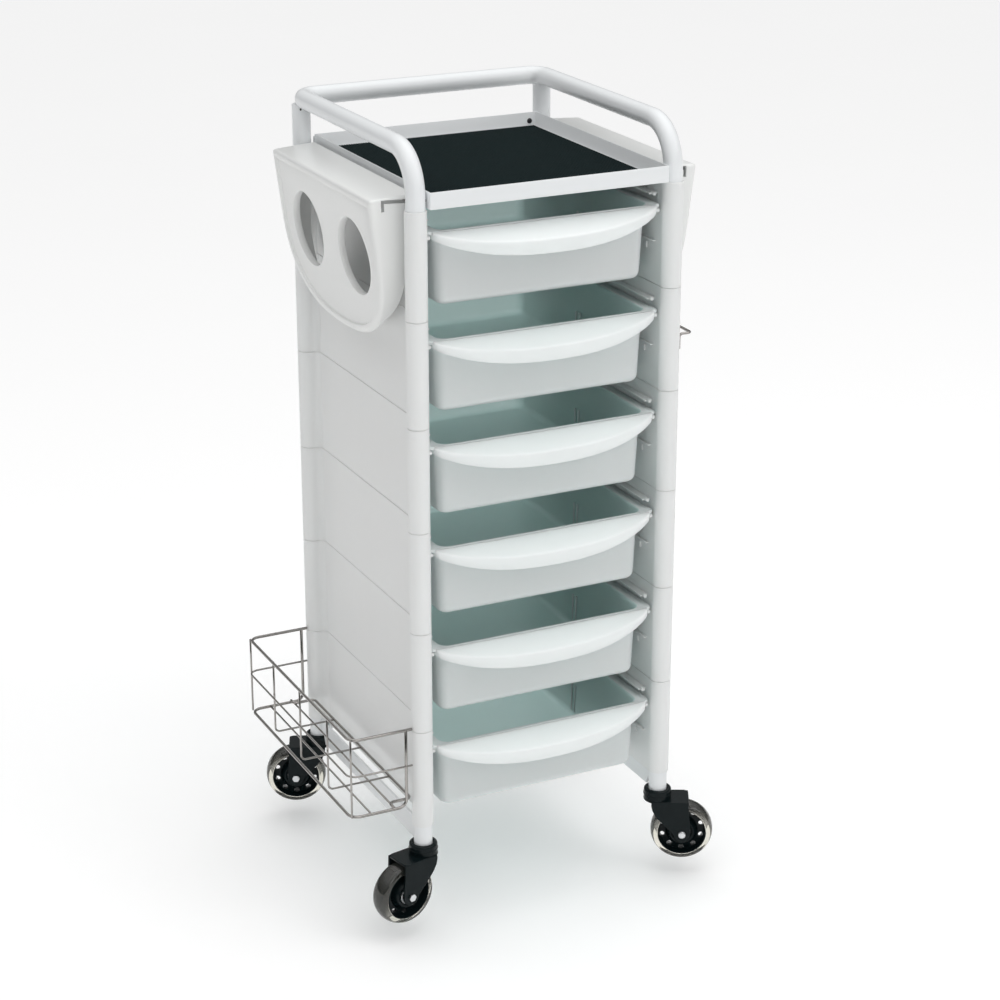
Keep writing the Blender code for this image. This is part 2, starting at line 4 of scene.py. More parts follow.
import bmesh
import bpy
from mathutils import Matrix, Vector
from mathutils.geometry import tessellate_polygon


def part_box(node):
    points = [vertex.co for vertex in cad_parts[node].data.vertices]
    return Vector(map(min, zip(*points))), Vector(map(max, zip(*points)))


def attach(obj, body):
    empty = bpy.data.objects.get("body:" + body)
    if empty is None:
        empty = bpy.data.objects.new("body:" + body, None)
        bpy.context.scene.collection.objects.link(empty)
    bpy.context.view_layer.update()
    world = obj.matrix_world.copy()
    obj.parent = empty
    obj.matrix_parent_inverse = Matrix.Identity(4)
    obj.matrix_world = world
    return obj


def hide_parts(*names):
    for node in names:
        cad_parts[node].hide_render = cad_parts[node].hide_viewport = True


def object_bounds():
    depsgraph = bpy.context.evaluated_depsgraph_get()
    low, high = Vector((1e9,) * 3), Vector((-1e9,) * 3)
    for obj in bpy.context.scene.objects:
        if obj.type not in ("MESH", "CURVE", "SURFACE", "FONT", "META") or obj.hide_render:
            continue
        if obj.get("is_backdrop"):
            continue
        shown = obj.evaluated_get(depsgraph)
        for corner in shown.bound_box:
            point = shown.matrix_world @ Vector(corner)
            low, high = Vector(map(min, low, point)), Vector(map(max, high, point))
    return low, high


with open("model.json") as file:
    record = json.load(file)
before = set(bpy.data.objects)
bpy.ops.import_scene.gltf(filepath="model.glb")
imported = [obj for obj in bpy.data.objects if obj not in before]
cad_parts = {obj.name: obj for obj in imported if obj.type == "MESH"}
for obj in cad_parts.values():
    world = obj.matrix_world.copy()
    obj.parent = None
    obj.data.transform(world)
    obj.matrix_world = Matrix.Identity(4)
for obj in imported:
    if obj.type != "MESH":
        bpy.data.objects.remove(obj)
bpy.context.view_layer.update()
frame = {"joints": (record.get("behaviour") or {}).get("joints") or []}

# ---- anchors taken from the frame ----------------------------------------------------------------
# Lengths are metres. Outlines and profiles are written in millimetres and scaled by MM or mm().
MM = 0.001
SIDES = {"left": -1, "right": 1}
JOINTS = {joint["name"]: joint for joint in frame["joints"]}
MODULES = 6
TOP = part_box("side_module_left_1")[1].z
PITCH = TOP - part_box("side_module_left_2")[1].z


def middle(node):
    low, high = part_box(node)
    return (low + high) / 2


POST_R = (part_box("rear_post_left")[1].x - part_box("rear_post_left")[0].x) / 2
CENTRE_X = middle("hoop_tube").x
CENTRE_Y = middle("hoop_tube").y
POST_X = middle("rear_post_right").x - CENTRE_X
POST_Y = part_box("hoop_tube")[1].y - POST_R - CENTRE_Y
REAR_Y = middle("rear_post_right").y - CENTRE_Y
POST_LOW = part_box("hoop_tube")[0].z
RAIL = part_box("hoop_tube")[1].z - POST_R


def at(x, y, z):
    """A point given from the hoop's centre and the module tops, in the frame's own place."""
    return Vector((CENTRE_X + x, CENTRE_Y + y, TOP + z))


# ---- outlines and placements ---------------------------------------------------------------------
YZ_PLANE = Matrix(((0, 0, 1, 0), (1, 0, 0, 0), (0, 1, 0, 0), (0, 0, 0, 1)))
XZ_PLANE = Matrix(((1, 0, 0, 0), (0, 0, 1, 0), (0, 1, 0, 0), (0, 0, 0, 1)))
Z_TO_FRONT = Matrix.Rotation(math.pi / 2, 4, "X")


def mm(outline):
    """An outline given in millimetres, in metres."""
    return [(a * MM, b * MM) for a, b in outline]


def circle(radius, sides, centre=(0.0, 0.0), start=0.0, sweep=math.tau):
    """Points of a circle, or of an arc with both its ends."""
    steps = sides if sweep == math.tau else sides + 1
    angles = [start + sweep * i / sides for i in range(steps)]
    return [(centre[0] + radius * math.cos(a), centre[1] + radius * math.sin(a)) for a in angles]


def rounded(corners, radius, steps):
    """A polyline with its inner corners replaced by arcs, of one radius or of one for each corner."""
    corners = [Vector(c) for c in corners]
    radii = radius if isinstance(radius, (list, tuple)) else [radius] * (len(corners) - 2)
    path = [corners[0]]
    for i, r in enumerate(radii, start=1):
        back = (corners[i - 1] - corners[i]).normalized()
        ahead = (corners[i + 1] - corners[i]).normalized()
        half = back.angle(ahead) / 2
        centre = corners[i] + (back + ahead).normalized() * (r / math.sin(half))
        first = corners[i] + back * (r / math.tan(half)) - centre
        axis = first.cross(back).normalized() * -1
        for step in range(steps + 1):
            turn = (math.pi - 2 * half) * step / steps
            path.append(centre + Matrix.Rotation(turn, 3, axis) @ first)
    path.append(corners[-1])
    return path


def plan_ring(half, front, rear, corner, z, steps=8):
    """A rounded rectangle seen from above: its half width, reach to the front and rear, and corner radius."""
    ring = []
    centres = ((half - corner, rear - corner), (corner - half, rear - corner),
               (corner - half, corner - front), (half - corner, corner - front))
    for quarter, centre in enumerate(centres):
        for x, y in circle(corner, steps, centre, quarter * math.pi / 2, math.pi / 2):
            ring.append(at(x, y, z))
    return ring


# ---- shells: (points, faces) of closed bodies ----------------------------------------------------
def loft(rings, wrap=False):
    """A skin over rings of equal length, which close in a loop or are capped at both ends."""
    count = len(rings[0])
    points = [Vector(p) for ring in rings for p in ring]
    faces = []
    for i in range(len(rings) if wrap else len(rings) - 1):
        low = i * count
        high = ((i + 1) % len(rings)) * count
        for j in range(count):
            k = (j + 1) % count
            faces.append((low + j, low + k, high + k, high + j))
    if not wrap:
        faces.append(tuple(range(count - 1, -1, -1)))
        faces.append(tuple(range((len(rings) - 1) * count, len(rings) * count)))
    return points, faces


def lathe(profile, sides, place=None):
    """Turns a (radius, height) profile about Z: closed by caps where it starts and ends on the axis."""
    on_axis = profile[0][0] == 0.0
    body = profile[1:-1] if on_axis else profile
    rings = [[Vector((x, y, z)) for x, y in circle(r, sides)] for r, z in body]
    points, faces = loft(rings, wrap=not on_axis)
    if place:
        points = [place @ p for p in points]
    return points, faces


def extrude(outline, depth, place=None):
    """A prism over an XY outline between two heights, with one face for each end."""
    rings = [[Vector((x, y, z)) for x, y in outline] for z in depth]
    points, faces = loft(rings)
    if place:
        points = [place @ p for p in points]
    return points, faces


def block(low, high):
    """An upright box between two corners."""
    outline = ((low[0], low[1]), (high[0], low[1]), (high[0], high[1]), (low[0], high[1]))
    return extrude(outline, (low[2], high[2]))


def rings_along(path, radius, sides):
    """Rings square to a path, carried along it without twist."""
    path = [Vector(p) for p in path]
    tangent = (path[1] - path[0]).normalized()
    normal = Vector((1.0, 0.0, 0.0)) if abs(tangent.z) > 0.99 else tangent.orthogonal().normalized()
    radii = radius if isinstance(radius, (list, tuple)) else [radius] * len(path)
    rings = []
    for i, point in enumerate(path):
        before = (path[i] - path[i - 1]).normalized() if i else tangent
        after = (path[i + 1] - path[i]).normalized() if i + 1 < len(path) else before
        heading = (before + after).normalized()
        normal = tangent.rotation_difference(heading) @ normal
        tangent = heading
        across = tangent.cross(normal)
        rings.append([point + (normal * x + across * y) for x, y in circle(radii[i], sides)])
    return rings


def rod(path, radius, sides=16):
    """A solid round wire with softly rounded ends."""
    path = [Vector(p) for p in path]
    nose = radius * 0.35
    tip = radius * 0.72
    head = (path[1] - path[0]).normalized() * nose
    tail = (path[-1] - path[-2]).normalized() * nose
    full = [path[0], path[0] + head] + path[1:-1] + [path[-1] - tail, path[-1]]
    radii = [tip] + [radius] * (len(full) - 2) + [tip]
    return loft(rings_along(full, radii, sides))


def pipe(path, outer, inner, sides):
    """A round tube, open at both ends."""
    skin = rings_along(path, outer, sides)
    bore = rings_along(path, inner, sides)
    return loft(skin + bore[::-1], wrap=True)


# ---- pieces --------------------------------------------------------------------------------------
EDGE_ANGLE = 35


def mesh_of(name, shells):
    """One mesh from several closed shells, each with its faces turned outwards."""
    work = bmesh.new()
    for points, faces in shells:
        made = [work.verts.new(p) for p in points]
        fresh = [work.faces.new([made[i] for i in face]) for face in faces]
        bmesh.ops.recalc_face_normals(work, faces=fresh)
    mesh = bpy.data.meshes.new(name)
    work.to_mesh(mesh)
    work.free()
    return mesh


def cut(thing, shells):
    """Exact Boolean difference of every shell from thing."""
    for shell in shells:
        tool = bpy.data.objects.new("cutter", mesh_of("cutter", [shell]))
        bpy.context.scene.collection.objects.link(tool)
        change = thing.modifiers.new("cut", "BOOLEAN")
        change.operation = "DIFFERENCE"
        change.solver = "EXACT"
        change.object = tool
        bpy.context.view_layer.update()
        view = bpy.context.evaluated_depsgraph_get()
        mesh = bpy.data.meshes.new_from_object(thing.evaluated_get(view))
        thing.modifiers.clear()
        thing.data = mesh
        bpy.data.objects.remove(tool)


def piece(name, shells, looks, body, nodes=(), bevel=0.0, cuts=(), sharp=EDGE_ANGLE):
    """A finished visible piece: meshed, cut, bevelled, dressed, riding on its body."""
    thing = bpy.data.objects.new(name, mesh_of(name, shells))
    bpy.context.scene.collection.objects.link(thing)
    cut(thing, cuts)
    looks = looks if isinstance(looks, (list, tuple)) else [looks]
    thing.data.materials.clear()
    for look in looks:
        thing.data.materials.append(look)
    thing.data.shade_smooth()
    thing.data.set_sharp_from_angle(angle=math.radians(sharp))
    if bevel:
        soften = thing.modifiers.new("edges", "BEVEL")
        soften.width = bevel
        soften.segments = 2
        soften.limit_method = "ANGLE"
        soften.angle_limit = math.radians(EDGE_ANGLE)
        soften.harden_normals = True
    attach(thing, body)
    if nodes:
        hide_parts(*nodes)
    return thing


# ---- materials -----------------------------------------------------------------------------------
def surface(name, colour, rough, metal=0.0, mottle=0.02, mottle_size=0.03, rough_play=0.05,
            grain=0.0008, relief=0.05, depth=0.0002, stretch=(1, 1, 1), **sockets):
    """Principled surface with broad colour drift, uneven gloss and a fine moulded or coated texture."""
    made = bpy.data.materials.new(name)
    made.use_nodes = True
    tree = made.node_tree
    shader = tree.nodes["Principled BSDF"]
    shader.inputs["Metallic"].default_value = metal
    for socket, value in sockets.items():
        shader.inputs[socket.replace("_", " ")].default_value = value
    coords = tree.nodes.new("ShaderNodeTexCoord")
    place = tree.nodes.new("ShaderNodeMapping")
    place.inputs["Scale"].default_value = stretch
    tree.links.new(coords.outputs["Object"], place.inputs["Vector"])
    broad = tree.nodes.new("ShaderNodeTexNoise")
    broad.inputs["Scale"].default_value = 1.0 / mottle_size
    broad.inputs["Detail"].default_value = 3.0
    tree.links.new(place.outputs["Vector"], broad.inputs["Vector"])
    # A colour mix has its factor at input 0, its two colours at 6 and 7, and its result at output 2.
    blend = tree.nodes.new("ShaderNodeMix")
    blend.data_type = "RGBA"
    blend.inputs[6].default_value = (*[c * (1 - mottle) for c in colour], 1.0)
    blend.inputs[7].default_value = (*[min(1.0, c * (1 + mottle)) for c in colour], 1.0)
    tree.links.new(broad.outputs["Fac"], blend.inputs[0])
    tree.links.new(blend.outputs[2], shader.inputs["Base Color"])
    gloss = tree.nodes.new("ShaderNodeMapRange")
    gloss.inputs["To Min"].default_value = max(0.02, rough - rough_play)
    gloss.inputs["To Max"].default_value = rough + rough_play
    tree.links.new(broad.outputs["Fac"], gloss.inputs["Value"])
    tree.links.new(gloss.outputs["Result"], shader.inputs["Roughness"])
    fine = tree.nodes.new("ShaderNodeTexNoise")
    fine.inputs["Scale"].default_value = 1.0 / grain
    fine.inputs["Detail"].default_value = 2.0
    tree.links.new(coords.outputs["Object"], fine.inputs["Vector"])
    bump = tree.nodes.new("ShaderNodeBump")
    bump.inputs["Strength"].default_value = relief
    bump.inputs["Distance"].default_value = depth
    tree.links.new(fine.outputs["Fac"], bump.inputs["Height"])
    tree.links.new(bump.outputs["Normal"], shader.inputs["Normal"])
    return made


WHITE_PAINT = surface("white_powder_coat", (0.80, 0.82, 0.83), 0.30, mottle=0.012, mottle_size=0.05,
                      grain=0.0022, relief=0.10, depth=0.0002, Coat_Weight=0.15, Coat_Roughness=0.2)
MODULE = surface("module_white_plastic", (0.78, 0.79, 0.785), 0.42, mottle=0.015, mottle_size=0.06,
                 grain=0.0006, relief=0.06, stretch=(1, 1, 0.25), Subsurface_Weight=0.5,
                 Subsurface_Scale=0.005, Subsurface_Radius=(0.93, 0.98, 1.0))
MILKY = {"Subsurface_Weight": 1.0, "Subsurface_Scale": 0.010, "Subsurface_Radius": (0.95, 1.0, 0.99)}
DRAWER = surface("drawer_milky_plastic", (0.80, 0.91, 0.90), 0.34, mottle=0.02, mottle_size=0.07,
                 grain=0.0007, relief=0.05, stretch=(1, 1, 0.4), **MILKY)
# The tub's inside faces: the same plastic as the outside, painted darker and more teal as painted shade
# inside the drawer.
DRAWER_INSIDE_PAINTED_SHADE = surface("drawer_tinted_inside", (0.64, 0.87, 0.83), 0.34, mottle=0.03, mottle_size=0.08,
                        grain=0.0009, relief=0.04, **MILKY)
# The lip is moulded with the tub but painted lighter than the drawer plastic: painted light on the handle.
HANDLE_PAINTED_LIGHT = surface("handle_plastic_painted_light", (0.86, 0.91, 0.90), 0.30, mottle=0.012, mottle_size=0.05,
                 grain=0.0007, relief=0.04, **MILKY)
HOLDER = surface("holder_white_plastic", (0.80, 0.81, 0.80), 0.30, mottle=0.015, mottle_size=0.05,
                 grain=0.0008, relief=0.05)
RUBBER = surface("mat_black_rubber", (0.005, 0.013, 0.014), 0.85, mottle=0.25, mottle_size=0.02,
                 grain=0.0005, relief=0.35, depth=0.0003, Specular_IOR_Level=0.12)
CHROME = surface("plated_wire", (0.36, 0.345, 0.33), 0.12, metal=1.0, mottle=0.08, mottle_size=0.01,
                 rough_play=0.06, grain=0.0015, relief=0.04)
BLACK = surface("caster_black_plastic", (0.004, 0.008, 0.009), 0.22, mottle=0.2, mottle_size=0.015,
                rough_play=0.08, grain=0.0009, relief=0.05, Specular_IOR_Level=0.15)
TREAD = surface("translucent_tread", (0.86, 0.83, 0.74), 0.05, mottle=0.04, mottle_size=0.012,
                rough_play=0.02, grain=0.0014, relief=0.03, Transmission_Weight=0.97, IOR=1.48)
STEEL = surface("zinc_plated_steel", (0.68, 0.69, 0.70), 0.28, metal=1.0, mottle=0.06, mottle_size=0.006,
                rough_play=0.10, grain=0.0004, relief=0.12)
DARK_STEEL = surface("dark_plated_screw", (0.06, 0.06, 0.065), 0.40, metal=1.0, mottle=0.15,
                     mottle_size=0.003, rough_play=0.1, grain=0.0003, relief=0.15)
SEAL = surface("bearing_seal", (0.02, 0.02, 0.022), 0.55, mottle=0.1, mottle_size=0.004,
               grain=0.0005, relief=0.1)
# Near black for a small disc on the post: a painted shadow by the weld.
WELD_SHADOW_SPOT = surface("weld_painted_shadow", (0.05, 0.045, 0.04), 0.8, mottle=0.2, mottle_size=0.002,
                  grain=0.0004, relief=0.3)

# ---- frame ---------------------------------------------------------------------------------------
FRONT_BEND = 48 * MM
REAR_BEND = 20 * MM
TUBE_WALL = 1.5 * MM
TUBE_SIDES = 40


def hoop():
    """One bent tube: up the left front leg, round the top and down the right front leg."""
    x, y = POST_X, POST_Y
    corners = ((-x, -y, POST_LOW), (-x, -y, RAIL), (-x, y, RAIL),
               (x, y, RAIL), (x, -y, RAIL), (x, -y, POST_LOW))
    corners = [(CENTRE_X + a, CENTRE_Y + b, c) for a, b, c in corners]
    path = rounded(corners, (FRONT_BEND, REAR_BEND, REAR_BEND, FRONT_BEND), 14)
    piece("hoop_tube_bent", [pipe(path, POST_R, POST_R - TUBE_WALL, TUBE_SIDES)], WHITE_PAINT, "frame",
          ["hoop_tube"])


def weld_bead(side, high):
    """A small uneven bead along the seam between a rear post and the bent rail above it."""
    path = []
    steps = 18
    sink = 0.97
    for i in range(steps + 1):
        angle = math.radians(200 + 140 * i / steps)
        x = POST_X + POST_R * math.sin(angle) * sink
        y = REAR_Y + POST_R * math.cos(angle) * sink
        inward = math.hypot(x - POST_X + REAR_BEND, y - POST_Y + REAR_BEND)
        reach = min(1.0, abs(inward - REAR_BEND) / POST_R)
        z = RAIL - POST_R * math.sqrt(max(0.0, 1.0 - reach * reach))
        path.append(Vector((CENTRE_X + side * x, CENTRE_Y + y, min(z, high - 0.5 * MM))))
    return rod(path, 1.1 * MM, 10)


def rear_post(name, side):
    """A straight post with a rounded top, the bead that welds it to the rail, and a small dark disc of
    painted shadow by the weld.
    """
    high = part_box("rear_post_" + name)[1].z
    foot = Vector((CENTRE_X + side * POST_X, CENTRE_Y + REAR_Y, POST_LOW))
    rise = high - POST_LOW
    crown = 1.2 * MM
    chamfer = 0.4 * MM
    profile = [(0.0, 0.0), (POST_R - chamfer, 0.0), (POST_R, chamfer), (POST_R, rise - crown)]
    for step in (30, 60, 90):
        a = math.radians(step)
        profile.append((POST_R - crown * (1 - math.cos(a)), rise - crown * (1 - math.sin(a))))
    profile.append((0.0, rise))
    post = lathe(profile, TUBE_SIDES, Matrix.Translation(foot))
    piece("rear_post_" + name + "_tube", [post], WHITE_PAINT, "frame", ["rear_post_" + name])
    piece("weld_bead_" + name, [weld_bead(side, high)], WHITE_PAINT, "frame")
    # A small dark disc on the post just under the bend: a painted shadow by the weld.
    spot = (CENTRE_X + side * (POST_X + 4.0 * MM), CENTRE_Y + REAR_Y - 9.4 * MM, high - 4.6 * MM)
    tilt = Matrix.Translation(spot) @ Matrix.Rotation(math.radians(side * -25), 4, "Z")
    plug = mm(((0.0, -0.6), (1.3, -0.6), (1.6, 0.1), (1.0, 0.9), (0.0, 0.9)))
    piece("weld_shadow_spot_" + name, [lathe(plug, 14, tilt @ Z_TO_FRONT)], WELD_SHADOW_SPOT, "frame")


def lower_rail(name):
    """A plate on edge between a side's posts, with its lower corners cut away."""
    node = "lower_rail_" + name
    low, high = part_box(node)
    notch = 10 * MM
    slope = 14 * MM
    face = [(low.y, high.z), (low.y, low.z + notch), (low.y + notch, low.z + notch), (low.y + slope, low.z),
            (high.y - slope, low.z), (high.y - notch, low.z + notch), (high.y, low.z + notch),
            (high.y, high.z)]
    piece(node + "_plate", [extrude(face, (low.x, high.x), YZ_PLANE)], WHITE_PAINT, "frame",
          [node], bevel=0.5 * MM)


def lower_rear_bar():
    """A round bar between the rear posts, with a weld ring at each end."""
    low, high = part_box("lower_rear_bar")
    mid = (low + high) / 2
    radius = (high.z - low.z) / 2
    path = [Vector((x, mid.y, mid.z)) for x in (low.x, high.x)]
    shells = [rod(path, radius, 32)]
    for end, inward in zip(path, (1, -1)):
        weld = [end, end + Vector((inward * 2.5 * MM, 0, 0))]
        shells.append(loft(rings_along(weld, [radius + 1.2 * MM, radius * 0.98], 32)))
    piece("lower_rear_tube", shells, WHITE_PAINT, "frame", ["lower_rear_bar"])


def tray_rear_bar():
    low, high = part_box("tray_rear_bar")
    piece("tray_rear_strip", [block(low, high)], WHITE_PAINT, "frame", ["tray_rear_bar"],
          bevel=0.5 * MM)


# ---- side modules --------------------------------------------------------------------------------
SLEEVE_R = 12.25 * MM
SLEEVE_FILLET = 9.0 * MM
WEB_IN = POST_X - 11.4 * MM
WEB_OUT = POST_X - 8.9 * MM


def module_plan(shrink):
    """Plan of a left module: two sleeves blended into the web by small fillets."""
    r = SLEEVE_R - shrink
    fillet = SLEEVE_FILLET + shrink
    web_out = POST_X - WEB_OUT - shrink
    web_in = POST_X - WEB_IN + shrink
    rise = web_out - fillet
    run = math.sqrt((r + fillet) ** 2 - rise ** 2)
    touch = math.atan2(run, rise)
    last = math.tau + math.acos(min(1.0, web_in / r))
    points = []
    for i in range(7):
        a = (touch - math.pi) * i / 6
        points.append((-POST_X + rise + fillet * math.cos(a), -POST_Y + run + fillet * math.sin(a)))
    for i in range(1, 31):
        a = touch + (last - touch) * i / 30
        points.append((-POST_X + r * math.cos(a), -POST_Y + r * math.sin(a)))
    return points + [(x, REAR_Y - POST_Y - y) for x, y in reversed(points)]


def module_shell(side, low, high):
    """The module's outer body: sleeves and web, with fine chamfers where one module meets the next."""
    edge = 0.45 * MM
    rings = []
    for z, shrink in ((low, edge), (low + edge, 0.0), (high - edge, 0.0), (high, edge)):
        rings.append([Vector((CENTRE_X + side * -x, CENTRE_Y + y, z)) for x, y in module_plan(shrink)])
    return loft(rings)


def module_runners(side, top):
    """Inner face: two runner ledges with rounded front pegs, a low rib and small stop ticks."""
    drop = top - TOP
    root = WEB_IN + 0.6 * MM
    front, rear = -147.0 * MM, 141.0 * MM
    shells = []
    for low, high, reach in ((-17.0, -15.0, 133.4), (-31.8, -29.8, 133.4), (-71.0, -69.5, 139.4)):
        xs = sorted((side * reach * MM, side * root))
        shells.append(block(at(xs[0], front, low * MM + drop), at(xs[1], rear, high * MM + drop)))
    for z, reach in ((-16.0, 0.0), (-32.6, 8.0)):
        stand = Matrix.Translation(at(side * 138.6 * MM, front - 1.0 * MM, z * MM + drop))
        peg = mm(((0.0, -3.2), (2.4, -3.2), (2.4, reach + 2.0), (2.0, reach + 2.8), (1.2, reach + 3.2),
                  (0.0, reach + 3.2)))
        shells.append(lathe(peg, 16, stand @ Z_TO_FRONT))
    for y in (-128.0, 122.0):
        xs = sorted((side * 141.2 * MM, side * root))
        shells.append(block(at(xs[0], (y - 1.2) * MM, -82 * MM + drop),
                            at(xs[1], (y + 1.2) * MM, -75 * MM + drop)))
    return shells


def side_modules():
    for name, side in SIDES.items():
        for level in range(MODULES):
            node = "side_module_%s_%d" % (name, level + 1)
            low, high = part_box(node)
            piece(node + "_shell", [module_shell(side, low.z, high.z)], MODULE, "frame",
                  [node])
            piece(node + "_runners", module_runners(side, high.z), MODULE, "frame",
                  bevel=0.35 * MM)


# ---- drawers -------------------------------------------------------------------------------------
def foot_curve(half, front, rear, height, radius):
    """Rows of the quarter round between the tub's floor and its walls, from the floor up."""
    rows = []
    for step in range(7):
        a = math.radians(15 * step)
        swell = radius * math.sin(a)
        rows.append((half + swell, front + swell, rear + swell, 5 + swell * 0.8,
                     height - radius * math.cos(a)))
    return rows


def drawer_tub(drop):
    """Rings of the tub, outside from the floor up and then inside down to the floor.

    A row holds the half width, the reach to the front and rear, the corner radius and the height."""
    outside = [(107.5, 133.5, 130, 4, -111.0)] + foot_curve(116.1, 142.6, 138.4, -102.0, 9)
    outside += [
        (126.1, 152.1, 148.2, 12.6, -82.0), (127.2, 152.7, 149.0, 13.0, -60.0),
        (127.7, 153.3, 149.4, 13.0, -50.0), (128.2, 154.6, 149.8, 13.2, -43.5),
        (128.5, 156.4, 150.1, 13.5, -37.5), (128.8, 158.2, 150.3, 13.8, -32.5),
        (129.0, 158.9, 150.5, 14.0, -28.6), (130.0, 159.0, 151.0, 13.0, -27.6),
        (139.0, 159.2, 153.0, 7.4, -27.6), (139.5, 159.3, 153.3, 7.0, -29.3),
        (140.2, 159.7, 153.8, 6.6, -29.5), (141.1, 160.4, 154.4, 6.0, -29.2),
        (141.3, 160.5, 154.5, 6.0, -28.4), (141.3, 160.5, 154.5, 6.0, -26.5),
        (140.8, 160.1, 154.0, 6.2, -25.7), (139.8, 159.1, 153.2, 7.0, -25.5)]
    inside = [
        (128.4, 158.0, 149.9, 12.5, -25.5), (127.4, 157.2, 148.9, 12.0, -25.9),
        (126.9, 156.6, 148.4, 11.9, -27.0), (126.6, 155.6, 148.2, 11.7, -32.5),
        (126.4, 154.0, 148.0, 11.4, -37.5), (126.2, 152.4, 147.7, 11.2, -43.5),
        (125.7, 151.3, 147.3, 11.1, -50.0), (125.2, 150.6, 146.9, 11.0, -60.0),
        (124.1, 150.0, 146.1, 10.8, -82.0)]
    inside += foot_curve(115.8, 142.3, 138.1, -101.6, 7.2)[::-1] + [(107.5, 133.5, 130, 4, -108.8)]
    return [[plan_ring(*(v * MM for v in row[:4]), row[4] * MM + drop) for row in rows]
            for rows in (outside, inside)]


def handle_rings(drop):
    """Crescent lip: rounded section, straight back edge, hollow behind the front face."""
    stations, half, last, tip = 56, 135.5, 135.4, 5.0
    back, root_z = -156.6, -25.9
    rings = []
    for i in range(stations + 1):
        x = last * math.sin(math.pi * (i / stations - 0.5))
        swell = (1 - (abs(x) / half) ** 2.4) ** 0.85
        past = max(0.0, (abs(x) - (half - tip)) / tip)
        reach = 5.6 * math.sqrt(1 - past * past)
        y = -158.4 - reach - 27.0 * swell
        z = -26.0 - 13.6 * swell
        face = 8.0 + 8.6 * swell
        crown = 0.9 * swell
        section = [(back, root_z), ((back * 2 + y) / 3, (root_z * 2 + z) / 3 + crown),
                   ((back + y * 2) / 3, (root_z + z * 2) / 3 + crown),
                   (y + 1.8 * min(1, reach / 3), z + 0.15 + 0.3 * crown), (y + 0.5, z - 0.5), (y, z - 1.5),
                   (y + 0.2, z - face * 0.55), (y + 0.7, z - face + 0.9), (y + 1.4, z - face),
                   (y + 2.2, z - face + 0.3), (y + 2.7, z - face + 1.2), (y + 2.5, z - 3.6),
                   (y + 3.6, z - 2.8), (back, -28.6)]
        rings.append([at(x * MM, section_y * MM, section_z * MM + drop) for section_y, section_z in section])
    return rings


def divider_ribs(drop):
    """A pair of upright ribs on each side wall, with a slot for a divider between them."""
    ribs = []
    for side in SIDES.values():
        xs = sorted((side * 122.2 * MM, side * 125.0 * MM))
        for y in (-6.5, 1.5):
            ribs.append(block(at(xs[0], (y - 1.1) * MM, -106 * MM + drop),
                              at(xs[1], (y + 1.1) * MM, -68 * MM + drop)))
    return ribs


def drawer(level):
    node = "drawer_%d" % (level + 1)
    body = "drawer_body_%d" % (level + 1)
    drop = -level * PITCH
    outside, inside = drawer_tub(drop)
    tub = piece(node + "_tub", [loft(outside + inside)], [DRAWER, DRAWER_INSIDE_PAINTED_SHADE], body,
                [node], sharp=50)
    # Faces of the inside rings get the second material, the painted shade of the tub's inside.
    bands = [0] * len(outside) + [1] * (len(inside) - 1)
    looks = [band for band in bands for _ in outside[0]] + [0, 1]
    for face, look in zip(tub.data.polygons, looks):
        face.material_index = look
    # The handle takes the lighter copy of the drawer plastic as painted light.
    piece(node + "_handle", [loft(handle_rings(drop))], HANDLE_PAINTED_LIGHT, body, sharp=60)
    piece(node + "_divider_ribs", divider_ribs(drop), DRAWER, body, bevel=0.5 * MM)


# ---- tray ----------------------------------------------------------------------------------------
TRAY_WALL = 1.5 * MM


def tray():
    """Folded sheet with a rounded foot, a rolled upper edge and a soft inner corner."""
    low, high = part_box("tray")
    mid = (low.y + high.y) / 2
    half_x = (high.x - low.x) / 2
    half_y = (high.y - low.y) / 2
    wall = TRAY_WALL
    r = 0.9 * MM

    def ring(inset, corner, z):
        corner = max(corner, 0.2 * MM)
        flat = plan_ring(half_x - inset, half_y - inset, half_y - inset, corner, 0.0, 3)
        return [Vector((p.x, p.y - CENTRE_Y + mid, z)) for p in flat]

    rings = [ring(3 * MM, 0.4 * MM, low.z), ring(r, 0.4 * MM, low.z),
             ring(0.3 * r, 0.7 * MM, low.z + 0.3 * r), ring(0, r, low.z + r),
             ring(0, r, high.z - 0.5 * MM), ring(0.25 * MM, r, high.z - 0.1 * MM),
             ring(0.75 * MM, 0.6 * MM, high.z), ring(1.25 * MM, 0.5 * MM, high.z - 0.1 * MM),
             ring(wall, 0.5 * MM, high.z - 0.5 * MM), ring(wall, 0.5 * MM, low.z + wall + 0.8 * MM),
             ring(wall + 0.3 * MM, 0.4 * MM, low.z + wall + 0.2 * MM),
             ring(wall + 0.9 * MM, 0.3 * MM, low.z + wall), ring(3.5 * MM, 0.3 * MM, low.z + wall)]
    piece("tray_folded", [loft(rings)], WHITE_PAINT, "frame", ["tray"], sharp=40)


def tray_mat():
    """Mat with ribs from front to rear, as many as fit at a pitch of about 3 mm."""
    low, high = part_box("tray_mat")
    count = int((high.x - low.x) / (3.0 * MM))
    pitch = (high.x - low.x) / count
    groove = high.z - 0.7 * MM
    top = []
    for i in range(count):
        x = low.x + i * pitch
        top += [(x + 0.12 * pitch, groove), (x + 0.28 * pitch, high.z), (x + 0.72 * pitch, high.z),
                (x + 0.88 * pitch, groove)]
    section = [(low.x, low.z), (high.x, low.z), (high.x, groove)] + top[::-1] + [(low.x, groove)]
    rings = [[Vector((x, y, z)) for x, z in section] for y in (low.y, high.y)]
    piece("tray_mat_ribbed", [loft(rings)], RUBBER, "frame", ["tray_mat"])


def cross_recess(depth, size):
    """Two crossed slots for a screw head that faces +Z with its top at z = 0."""
    arm = size * 0.22
    return [block((-size, -arm, -depth), (size, arm, depth)),
            block((-arm, -size, -depth), (arm, size, depth))]


